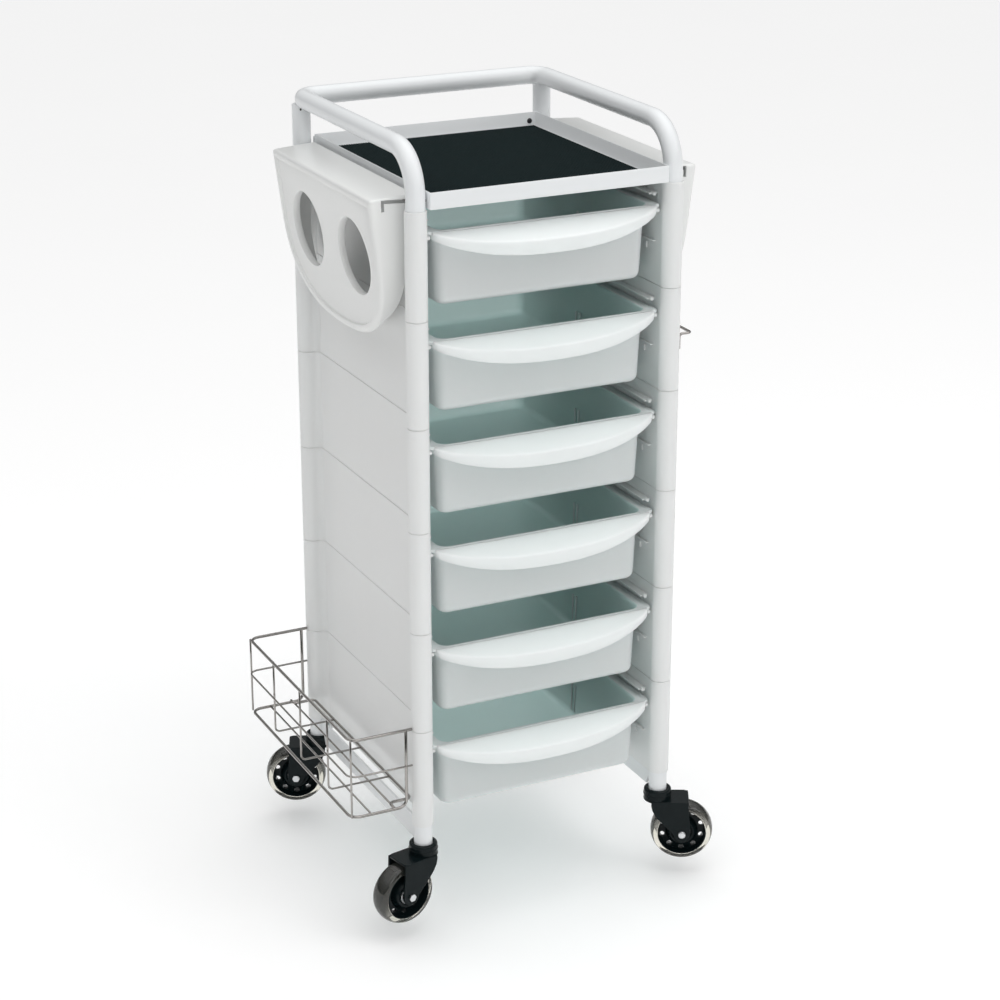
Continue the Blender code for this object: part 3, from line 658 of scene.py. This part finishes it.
def pan_screw(name, place, radius, nodes=(), shank=0.0):
    """Pan-head cross-recess screw with its seat at z = 0 and its head towards +Z."""
    height = radius * 0.62
    neck = [(0.0, -shank), (radius * 0.5, -shank), (radius * 0.5, 0.0)] if shank else [(0.0, 0.0)]
    profile = neck + [(radius, 0.0)]
    for step in range(1, 7):
        a = math.radians(15 * step)
        profile.append((radius * (0.45 + 0.55 * math.cos(a)), height * math.sin(a)))
    profile.append((0.0, height))
    tools = [([place @ (p + Vector((0, 0, height))) for p in points], faces)
             for points, faces in cross_recess(height * 0.55, radius * 0.58)]
    piece(name, [lathe(profile, 28, place)], DARK_STEEL, "frame", nodes, cuts=tools)


def tray_screws():
    """One screw through each side wall from within, and one at each end of the rear wall."""
    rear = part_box("tray")[1].y - TRAY_WALL
    for name, side in SIDES.items():
        node = "tray_screw_" + name
        mid = middle(node)
        seat = Matrix.Translation((CENTRE_X + side * (143 * MM - TRAY_WALL), mid.y, mid.z))
        inward = seat @ Matrix.Rotation(-side * math.pi / 2, 4, "Y")
        pan_screw(node + "_head", inward, 3.4 * MM, [node], shank=6.5 * MM)
        seat = Matrix.Translation((CENTRE_X + side * 133 * MM, rear, mid.z))
        pan_screw("tray_rear_screw_" + name, seat @ Z_TO_FRONT, 3.2 * MM)


# ---- dryer holders -------------------------------------------------------------------------------
# In millimetres. A holder's end is upright down to HOLDER_STRAIGHT and round below it.
HOLDER_HALF = 140.0
HOLDER_TOP = 9.5
HOLDER_STRAIGHT = -60.0
HOLDER_DEPTH = 163.0
HOLDER_REACH = 198.4
HOLDER_TILT = 0.128
HOLE_Y = 66.0
HOLE_Z = -68.5
HOLE_SIDES = 48


def holder_loop(inset, steps=40):
    """D-shaped loop in (y, z) millimetres, shrunk by an inset, with small rounded top corners."""
    half, top = HOLDER_HALF - inset, HOLDER_TOP - inset
    sag = HOLDER_DEPTH + HOLDER_STRAIGHT - inset
    corner = max(0.6, 3.5 - inset)
    points = []
    for end, start in ((-1, math.pi), (1, math.pi / 2)):
        arc = circle(corner, 4, (0, 0), start, -math.pi / 2)
        points += [(x + end * (half - corner), y + top - corner) for x, y in arc]
    for i in range(steps + 1):
        a = math.pi * i / steps
        across = math.copysign(abs(math.cos(a)) ** 0.8, math.cos(a))
        down = math.sin(a) ** 0.8 if 0 < i < steps else 0.0
        points.append((half * across, HOLDER_STRAIGHT - sag * down))
    return points


def plate_x(z):
    """How far out the sloping plate stands at a height."""
    return HOLDER_REACH - HOLDER_TILT * (HOLDER_TOP - z)


def edge_point(y, z):
    """The open edge next to the trolley: drawn in, lifted and a little narrower towards the bottom."""
    sink = max(0.0, HOLDER_STRAIGHT + 12.0 - z) / HOLDER_DEPTH
    lift = 3.0 if z > 0 else 14.0 * sink
    return 147.0 + 6.0 * min(1.0, (HOLDER_TOP - z) / 65.0) + 10.0 * sink, y * (1 - 0.10 * sink), z + lift


def holder_shell(side):
    """One closed skin: end wall, rounded shoulder, raised rim, recessed plate, collared holes and inside.

    A loop is shrunk by an inset and stands off the plate's slope by a shift, or follows the open edge."""
    outer = [(0.0, None), (0.0, -5.0)]
    for step in range(1, 6):
        a = math.radians(18 * step)
        outer.append((5.0 * (1 - math.cos(a)), -5.0 + 5.0 * math.sin(a)))
    outer += [(7.6, 0.0), (8.5, -0.4), (9.6, -2.6), (10.6, -3.0)]
    inner = [(7.5, -5.6), (4.6, -6.4), (2.8, -8.5), (2.5, None)]
    collar = [(44.2, -3.0), (43.3, -3.2), (42.7, -4.0), (42.2, -10.6), (42.5, -11.2), (43.4, -11.4),
              (44.0, -10.8), (44.6, -5.9), (45.4, -5.6)]
    points, faces = [], []

    def add_ring(loop, shift):
        start = len(points)
        for y, z in loop:
            x = plate_x(z)
            if shift is None:
                x, y, z = edge_point(y, z)
            else:
                x += shift
            points.append(at(side * x * MM, y * MM, z * MM))
        return start

    def bridge(a, b, count):
        for j in range(count):
            k = (j + 1) % count
            faces.append((a + j, a + k, b + k, b + j))

    loops = [(holder_loop(inset), shift) for inset, shift in outer + inner]
    starts = [add_ring(loop, shift) for loop, shift in loops]
    count = len(loops[0][0])
    front_of_plate = len(outer) - 1
    for i in range(len(loops)):
        if i != front_of_plate:
            bridge(starts[i], starts[(i + 1) % len(loops)], count)
    rims = []
    for hole in (-HOLE_Y, HOLE_Y):
        rows = [add_ring(circle(radius, HOLE_SIDES, (hole, HOLE_Z)), shift) for radius, shift in collar]
        for a, b in zip(rows, rows[1:]):
            bridge(a, b, HOLE_SIDES)
        rims.append((rows[0], rows[-1]))
    for start, end in ((starts[front_of_plate], 0), (starts[front_of_plate + 1], 1)):
        groups = [range(start, start + count)]
        groups += [range(rim[end], rim[end] + HOLE_SIDES) for rim in rims]
        flat = [[Vector((points[i].y, points[i].z, 0.0)) for i in group] for group in groups]
        lookup = [i for group in groups for i in group]
        faces += [tuple(lookup[i] for i in triangle) for triangle in tessellate_polygon(flat)]
    return points, faces


def slot_cutters(side):
    """The L-shaped slot that the rod runs in, through both ends."""
    slot = mm(((151.4, 2.9), (180.6, 4.4), (180.6, -4.0), (184.4, -4.0), (184.4, 8.6), (151.4, 7.2)))
    stand = Matrix.Translation(at(0, 0, 0)) @ XZ_PLANE @ Matrix.Diagonal((side, 1, 1, 1))
    return [extrude(slot, (low * MM, high * MM), stand) for low, high in ((-142.0, -135.5), (135.5, 142.0))]


def dryer_holder(name, side):
    """The holder, the wire that it turns on, and a spring clip at each end of the wire."""
    piece("dryer_holder_" + name + "_cup", [holder_shell(side)], HOLDER, "holder_body_" + name,
          ["dryer_holder_" + name], cuts=slot_cutters(side), sharp=38)
    low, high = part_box("holder_pivot_rod_" + name)
    mid = (low + high) / 2
    wire = rod([Vector((mid.x, y, mid.z)) for y in (low.y, high.y)], (high.z - low.z) / 2, 18)
    piece("holder_pivot_rod_" + name + "_wire", [wire], CHROME, "frame",
          ["holder_pivot_rod_" + name])
    section = mm(((1.5, -0.3), (3.0, -0.3), (3.0, 0.3), (1.5, 0.3)))
    clips = []
    for y in (-142.6, 142.0):
        stand = Matrix.Translation((mid.x, CENTRE_Y + y * MM, mid.z)) @ Z_TO_FRONT
        clips.append(lathe(section, 20, stand))
    piece("pivot_clips_" + name, clips, STEEL, "frame")


# ---- wire goods ----------------------------------------------------------------------------------
def wire_path(corners, radius=None, steps=8):
    corners = [at(*corner) for corner in corners]
    return rounded(corners, radius, steps) if radius else corners


def wire_basket():
    """Thick wires for the rim, the lower hoop and the inner floor loop, thin ones for the mesh between."""
    top, low = -597 * MM, -693 * MM
    reach, front, rear = -243 * MM, -162.5 * MM, 153.5 * MM
    inner, upright, lift = -(POST_X + SLEEVE_R + 0.4 * MM), -175 * MM, low + 2.6 * MM
    hook, hook_front, hook_rear, side = -164.5 * MM, -150 * MM, 143 * MM, -191.5 * MM
    thick = [
        wire_path(((inner, front, top), (reach, front, top), (reach, rear, top), (inner, rear, top)),
                  12 * MM),
        wire_path(((upright, front, top + 1 * MM), (upright, front, low), (reach, front, low),
                   (reach, rear, low), (upright, rear, low), (upright, rear, top + 1 * MM)),
                  [10 * MM, 12 * MM, 12 * MM, 10 * MM]),
        wire_path(((side, front, lift), (side, hook_front, lift), (hook, hook_front, lift),
                   (hook, hook_rear, lift), (side, hook_rear, lift), (side, rear, lift)),
                  [6 * MM, 6 * MM, 6 * MM, 5 * MM])]
    mid, wide, near, far = top - 44.5 * MM, 1.5 * MM, inner - 0.5 * MM, reach - 2 * MM
    thin = [wire_path(((near, front - wide, mid), (far, front - wide, mid), (far, rear + wide, mid),
                       (near, rear + wide, mid)), 12 * MM)]
    for y in (front + 1 * MM, rear - 1 * MM):
        thin.append(wire_path(((reach + 0.8 * MM, y, low), (reach + 0.8 * MM, y, top))))
    out, floor_z = reach + 2.2 * MM, low + 2.2 * MM
    for y in (-89 * MM, -5 * MM, 79 * MM):
        thin.append(wire_path(((out, y, top - 0.5 * MM), (out, y, floor_z), (-164 * MM, y, floor_z)),
                              [6 * MM]))
    for x in (-219 * MM, -189.5 * MM):
        thin.append(wire_path(((x, front + 0.5 * MM, low + 0.6 * MM), (x, rear - 0.5 * MM, low + 0.6 * MM))))
    shells = [rod(path, 1.8 * MM, 14) for path in thick] + [rod(path, 1.2 * MM, 12) for path in thin]
    piece("wire_basket_welded", shells, CHROME, "frame", ["wire_basket_left"], sharp=60)


def wire_rail():
    """One wire bent down at both sleeves."""
    low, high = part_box("wire_rail_right")
    wire = 1.6 * MM
    front, rear, near, reach, z = low.y + wire, high.y - wire, low.x + wire, high.x - wire, high.z - wire
    corners = ((near, front, low.z), (near, front, z), (reach, front, z),
               (reach, rear, z), (near, rear, z), (near, rear, low.z))
    path = rounded(corners, [4 * MM] * 4, 7)
    piece("wire_rail_bent", [rod(path, wire, 14)], CHROME, "frame", ["wire_rail_right"], sharp=60)


# ---- casters -------------------------------------------------------------------------------------
# stand is on the floor under the post, with +X towards the wheel. axle is on the wheel's centre, with
# Z along the axle.
TRAIL = 30 * MM
WHEEL_R = 37.5 * MM


def caster_stem(tag, stand):
    """Plug in the tube, its shoulder, and the swivel pin with its washer."""
    profile = mm(((0, 120.5), (8.0, 120.5), (8.9, 118.5), (8.9, 91.0), (9.2, 90.2), (10.2, 90.2),
                  (10.5, 89.9), (10.5, 88.0), (10.2, 87.6), (5.0, 87.5), (5.0, 77.0), (7.6, 77.0),
                  (8.0, 76.6), (8.0, 75.0), (7.6, 74.5), (0, 74.5)))
    piece("caster_stem_%s_plug" % tag, [lathe(profile, 32, stand)], STEEL, "frame",
          ["caster_stem_" + tag])


def fork_side(y0, y1, stand):
    """One cheek of the fork: a swept plate from the hood to a round boss on the axle."""
    outline = mm([(-7.5, 79.4), (-7.6, 75.0), (-6.2, 68.5), (-2.6, 61.5), (2.6, 55.0), (9.0, 48.0),
                  (15.5, 41.5)])
    outline += circle(10.2 * MM, 14, (TRAIL, WHEEL_R), math.radians(185), math.radians(190))
    outline += mm([(40.0, 48.0), (38.6, 58.0), (38.0, 66.0), (37.6, 79.4)])
    return extrude(outline, (y0 * MM, y1 * MM), stand @ XZ_PLANE)


def caster_fork(tag, stand):
    """Hood and two cheeks, below a round collar with a ridge about its waist."""
    body = "swivel_" + tag
    hood = [(x, y * 1.04) for x, y in circle(16.8 * MM, 12, (0, 0), math.pi / 2, math.pi)]
    hood += mm(((32.5, -17.9), (36.3, -16.4), (37.8, -12.5), (37.8, 12.5), (36.3, 16.4), (32.5, 17.9)))
    shells = [extrude(hood, (77.4 * MM, 80.0 * MM), stand), fork_side(14.5, 17.8, stand),
              fork_side(-17.8, -14.5, stand)]
    piece("caster_fork_%s_moulded" % tag, shells, BLACK, body, ["caster_fork_" + tag],
          bevel=0.9 * MM)
    collar = [(5.4, 77.3), (15.9, 77.3), (16.5, 78.0), (16.5, 87.6)]
    collar += circle(2.6, 4, (13.9, 90.2), 0.0, math.radians(80))
    collar += [(12.4, 92.9), (11.8, 92.4), (11.5, 91.6), (11.5, 82.4), (11.0, 82.0), (5.4, 82.0)]
    ridge = [(16.2, 84.4), (17.0, 84.8), (17.0, 85.8), (16.2, 86.2)]
    piece("caster_collar_" + tag, [lathe(mm(collar), 40, stand), lathe(mm(ridge), 40, stand)], BLACK, body)


def caster_bolt(tag, axle):
    """Axle bolt with a domed head on one cheek and a hexagon nut on the other."""
    shank = mm(((0, -18.4), (3.0, -18.4), (3.0, 18.4), (0, 18.4)))
    dome = mm(((0.0, 18.1), (4.6, 18.1), (4.6, 19.2), (4.1, 20.1), (2.8, 20.6), (0.0, 20.7)))
    nut = extrude(circle(4.7 * MM, 6), (-20.6 * MM, -18.1 * MM), axle)
    piece("caster_axle_%s_bolt" % tag, [lathe(shank, 20, axle), lathe(dome, 28, axle), nut], STEEL,
          "swivel_" + tag, ["caster_axle_" + tag], bevel=0.25 * MM)


def wheel_core(tag, axle):
    """Hub, thin web with ten oval windows, and the rim that carries the tread."""
    half = [(10.8, 10.5), (13.0, 12.0), (14.6, 12.0), (16.0, 10.4), (17.6, 6.0), (19.2, 2.6), (20.6, 2.0),
            (27.0, 2.0), (27.6, 2.8), (27.9, 11.2), (28.3, 11.8), (28.9, 11.8)]
    profile = mm([(r, -z) for r, z in half] + half[::-1])
    count = 10
    window = [(x * 0.78, y) for x, y in circle(3.5 * MM, 18)]
    windows = []
    for i in range(count):
        turn = Matrix.Rotation(math.tau * (i + 0.5) / count, 4, "Z") @ Matrix.Translation((24.2 * MM, 0, 0))
        windows.append(extrude(window, (-5 * MM, 5 * MM), axle @ turn))
    piece("wheel_core_%s_spoked" % tag, [lathe(profile, 64, axle)], BLACK, "wheel_" + tag,
          ["wheel_core_" + tag], cuts=windows)


def wheel_tread(tag, axle):
    """Clear crowned tread, whose bore sits in the core's rim so that no air gap shows."""
    profile = [(28.5, -11.4), (29.4, -12.0)]
    for step in range(1, 14):
        a = math.radians(-84 + 12 * step)
        profile.append((30.6 + 6.9 * math.cos(a) ** 0.8, 12.0 * math.sin(a)))
    profile += [(29.4, 12.0), (28.5, 11.4)]
    piece("tyre_%s_tread" % tag, [lathe(mm(profile), 72, axle)], TREAD, "wheel_" + tag,
          ["tyre_" + tag])


def wheel_bearing(tag, axle):
    """Steel bush with a groove in each face, and a dark seal in each groove."""
    half = [(3.3, 12.2), (5.2, 12.2), (5.4, 11.8), (8.2, 11.8), (8.4, 12.5), (10.1, 12.5), (10.5, 12.0)]
    ring = mm([(r, -z) for r, z in half] + half[::-1])
    piece("wheel_bearing_%s_ring" % tag, [lathe(ring, 40, axle)], STEEL, "wheel_" + tag,
          ["wheel_bearing_" + tag])
    seals = []
    for z in (-11.9, 11.9):
        section = mm(((5.6, z - 0.2), (8.0, z - 0.2), (8.0, z + 0.2), (5.6, z + 0.2)))
        seals.append(lathe(section, 32, axle))
    piece("bearing_seals_" + tag, seals, SEAL, "wheel_" + tag)


def caster(tag):
    turn = JOINTS["swivel_%s_turn" % tag]
    spin = JOINTS["wheel_%s_spin" % tag]
    post = Vector((turn["pos_m"][0], turn["pos_m"][1], 0.0))
    hub = Vector(spin["pos_m"])
    heading = Matrix.Rotation(math.atan2(hub.y - post.y, hub.x - post.x), 4, "Z")
    stand = Matrix.Translation(post) @ heading
    axle = Matrix.Translation(hub) @ heading @ Z_TO_FRONT
    caster_stem(tag, stand)
    caster_fork(tag, stand)
    caster_bolt(tag, axle)
    wheel_core(tag, axle)
    wheel_tread(tag, axle)
    wheel_bearing(tag, axle)


# ---- surroundings --------------------------------------------------------------------------------
def floor():
    """A pale sheet just under the wheels, wide enough to reach past the view."""
    half, thick, gap = 20.0, 0.02, 0.0002
    mesh = mesh_of("floor", [block((-half, -half, -thick), (half, half, 0.0))])
    ground = bpy.data.objects.new("floor", mesh)
    bpy.context.scene.collection.objects.link(ground)
    ground.location.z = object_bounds()[0][2] - gap
    look = surface("floor_paper", (0.92, 0.92, 0.92), 0.8, mottle=0.004, mottle_size=0.5, grain=0.01,
                   relief=0.02, Emission_Color=(1.0, 1.0, 1.0, 1.0), Emission_Strength=0.12)
    mesh.materials.append(look)
    ground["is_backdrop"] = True


def lamp(name, size, power, place):
    """A white rectangular lamp that faces the trolley's middle."""
    data = bpy.data.lights.new(name, "AREA")
    data.shape = "RECTANGLE"
    data.size, data.size_y = size
    data.energy = power
    thing = bpy.data.objects.new(name, data)
    bpy.context.scene.collection.objects.link(thing)
    thing.location = place
    aim = Vector((0.0, 0.0, 0.45)) - Vector(place)
    thing.rotation_euler = aim.to_track_quat("-Z", "Y").to_euler()


def studio():
    """A soft overhead sky that fades towards the horizon, and three large weak lamps."""
    world = bpy.data.worlds.new("studio")
    bpy.context.scene.world = world
    world.use_nodes = True
    tree = world.node_tree
    sky = tree.nodes["Background"]
    sky.inputs["Color"].default_value = (1.0, 1.0, 1.0, 1.0)
    heading = tree.nodes.new("ShaderNodeTexCoord")
    split = tree.nodes.new("ShaderNodeSeparateXYZ")
    fade = tree.nodes.new("ShaderNodeMapRange")
    fade.interpolation_type = "SMOOTHSTEP"
    fade.inputs["From Min"].default_value = 0.1
    fade.inputs["To Min"].default_value = 0.04
    fade.inputs["To Max"].default_value = 1.28
    tree.links.new(heading.outputs["Generated"], split.inputs["Vector"])
    tree.links.new(split.outputs["Z"], fade.inputs["Value"])
    tree.links.new(fade.outputs["Result"], sky.inputs["Strength"])
    lamp("front", (2.0, 1.6), 13, (-0.6, -3.1, 1.5))
    lamp("key", (1.6, 1.6), 12, (1.7, -2.2, 2.4))
    lamp("top", (2.0, 2.0), 11, (0.2, -0.2, 2.9))
    bpy.context.scene.view_settings.view_transform = "Standard"


def camera():
    """Looks slightly down at the trolley from its front left."""
    data = bpy.data.cameras.new("camera")
    data.sensor_width = 36.0
    data.lens = 88.8
    data.clip_end = 50.0
    thing = bpy.data.objects.new("camera", data)
    bpy.context.scene.collection.objects.link(thing)
    thing.location = at(-1.1824, -2.4604, 0.6276)
    thing.rotation_euler = (math.radians(69.3), 0.0, math.radians(-26.1))
    bpy.context.scene.camera = thing


camera()
hoop()
for side_name, sign in SIDES.items():
    rear_post(side_name, sign)
for side_name in SIDES:
    lower_rail(side_name)
lower_rear_bar()
tray_rear_bar()
side_modules()
for drawer_level in range(MODULES):
    drawer(drawer_level)
tray()
tray_mat()
tray_screws()
for side_name, sign in SIDES.items():
    dryer_holder(side_name, sign)
wire_basket()
wire_rail()
for caster_tag in ("front_left", "front_right", "rear_left", "rear_right"):
    caster(caster_tag)
floor()
studio()
